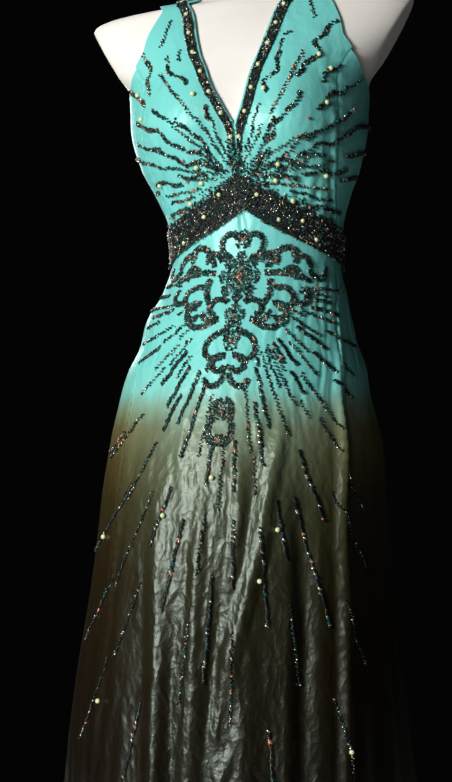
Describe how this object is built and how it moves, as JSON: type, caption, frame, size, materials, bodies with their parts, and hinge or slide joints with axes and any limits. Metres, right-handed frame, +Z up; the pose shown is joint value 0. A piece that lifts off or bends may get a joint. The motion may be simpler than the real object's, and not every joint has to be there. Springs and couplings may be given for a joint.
{
  "type": "evening gown on a dress form",
  "caption": "Floor-length halter evening gown with a beaded V neck, a beaded waist band and a flared skirt, worn by a limbless dress form on a pole and round base.",
  "frame": {"origin": "centre of the underside of the round base, on the floor", "axes": "+Z up, the gown's front faces -Y, +X is on the viewer's right when the front is seen"},
  "size_m": [0.5642, 0.5146, 1.53],
  "materials": {
    "satin_turquoise": "soft satin",
    "satin_ombre": "soft satin, turquoise at the waist fading to olive below the hip",
    "beadwork": "cloth packed with small glossy beads",
    "zip_metal": "polished",
    "form_shell": "smooth eggshell",
    "stand_chrome": "polished",
    "stand_steel": "satin black paint"
  },
  "bodies": {
    "gown": {"bodice_front_left": "satin_turquoise", "bodice_front_right": "satin_turquoise", "bodice_side_left": "satin_turquoise", "bodice_side_right": "satin_turquoise", "bodice_back_left": "satin_turquoise", "bodice_back_right": "satin_turquoise", "neck_trim_left": "beadwork", "neck_trim_right": "beadwork", "band_front": "beadwork", "band_back_left": "beadwork", "band_back_right": "beadwork", "skirt_front": "satin_ombre", "skirt_side_left": "satin_ombre", "skirt_side_right": "satin_ombre", "skirt_back_left": "satin_ombre", "skirt_back_right": "satin_ombre", "zip_chain": "zip_metal", "zip_slider": "zip_metal", "nape_button": "satin_turquoise", "form_torso": "form_shell", "form_flange": "stand_chrome", "stand_pole": "stand_chrome", "stand_collar": "stand_chrome", "stand_base": "stand_steel"},
    "pull_tab": {"zip_pull": "zip_metal"}
  },
  "joints": [
    {"name": "zip_pull_hinge", "type": "hinge", "parent": "gown", "child": "pull_tab", "pos_m": [0.00391, 0.09349, 1.1439], "axis": [1, 0, 0], "range_deg": [0, 140]}
  ]
}
